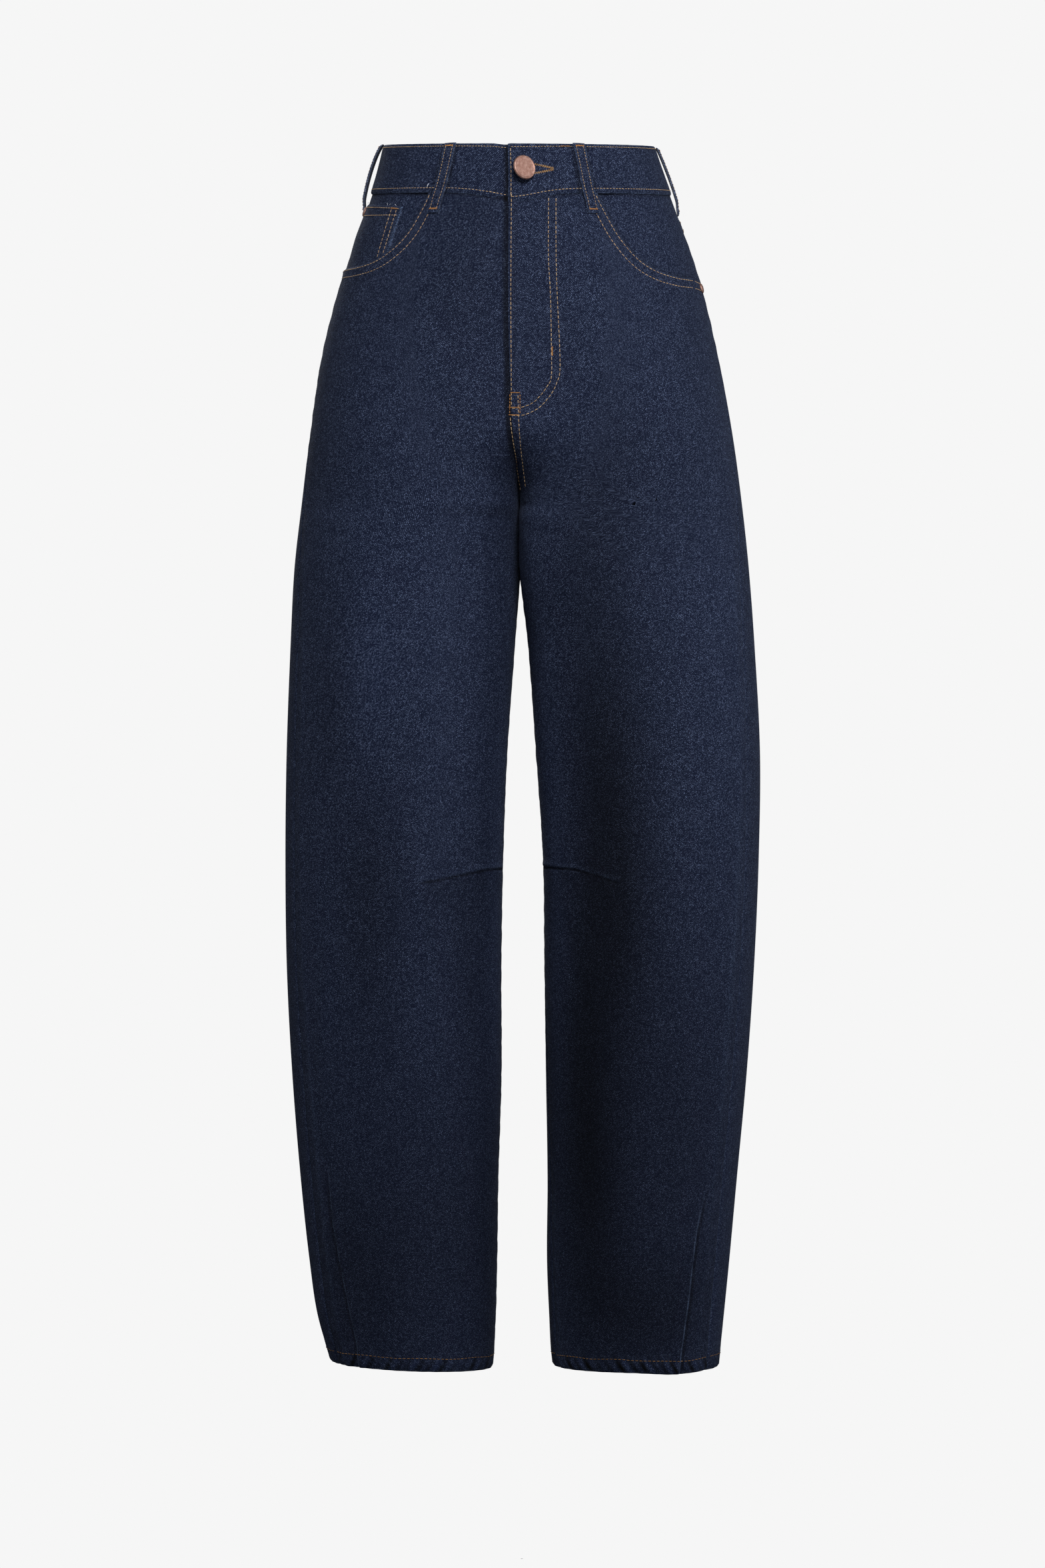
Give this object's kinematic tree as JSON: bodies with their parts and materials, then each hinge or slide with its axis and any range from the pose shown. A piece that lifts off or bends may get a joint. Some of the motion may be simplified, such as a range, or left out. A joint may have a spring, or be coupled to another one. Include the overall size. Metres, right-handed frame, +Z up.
{
  "type": "jeans",
  "caption": "High-waisted barrel-leg jeans in dark indigo denim, filled out as if worn, with curved front pockets, a coin pocket, a yoke and patch pockets behind, belt loops and a button fly.",
  "frame": {"origin": "middle of the waist opening, halfway down the waistband, where the wearer's waist holds the garment", "axes": "+Z up out of the waist, -Y to the front of the garment, -X to the wearer's right"},
  "size_m": [0.3956, 0.2459, 1.0317],
  "materials": {
    "denim": "matte",
    "denim_inner": "matte",
    "zip_tape": "matte",
    "rose_copper": "satin",
    "thread": "satin"
  },
  "bodies": {
    "root": {"front_right": "denim", "front_right_lower": "denim", "front_left": "denim", "front_left_lower": "denim", "back_right": "denim", "back_right_lower": "denim", "back_left": "denim", "back_left_lower": "denim", "yoke_right": "denim", "yoke_left": "denim", "pocket_facing_right": "denim_inner", "pocket_facing_left": "denim_inner", "coin_pocket": "denim_inner", "back_pocket_right": "denim", "back_pocket_left": "denim", "waistband": "denim", "belt_loop_front_right": "denim", "belt_loop_front_left": "denim", "belt_loop_side_right": "denim", "belt_loop_side_left": "denim", "belt_loop_back": "denim", "fly_zip": "zip_tape", "fly_shield": "denim_inner", "button": "rose_copper", "rivet_coin_pocket": "rose_copper", "rivet_left_mouth": "rose_copper"}
  },
  "joints": []
}
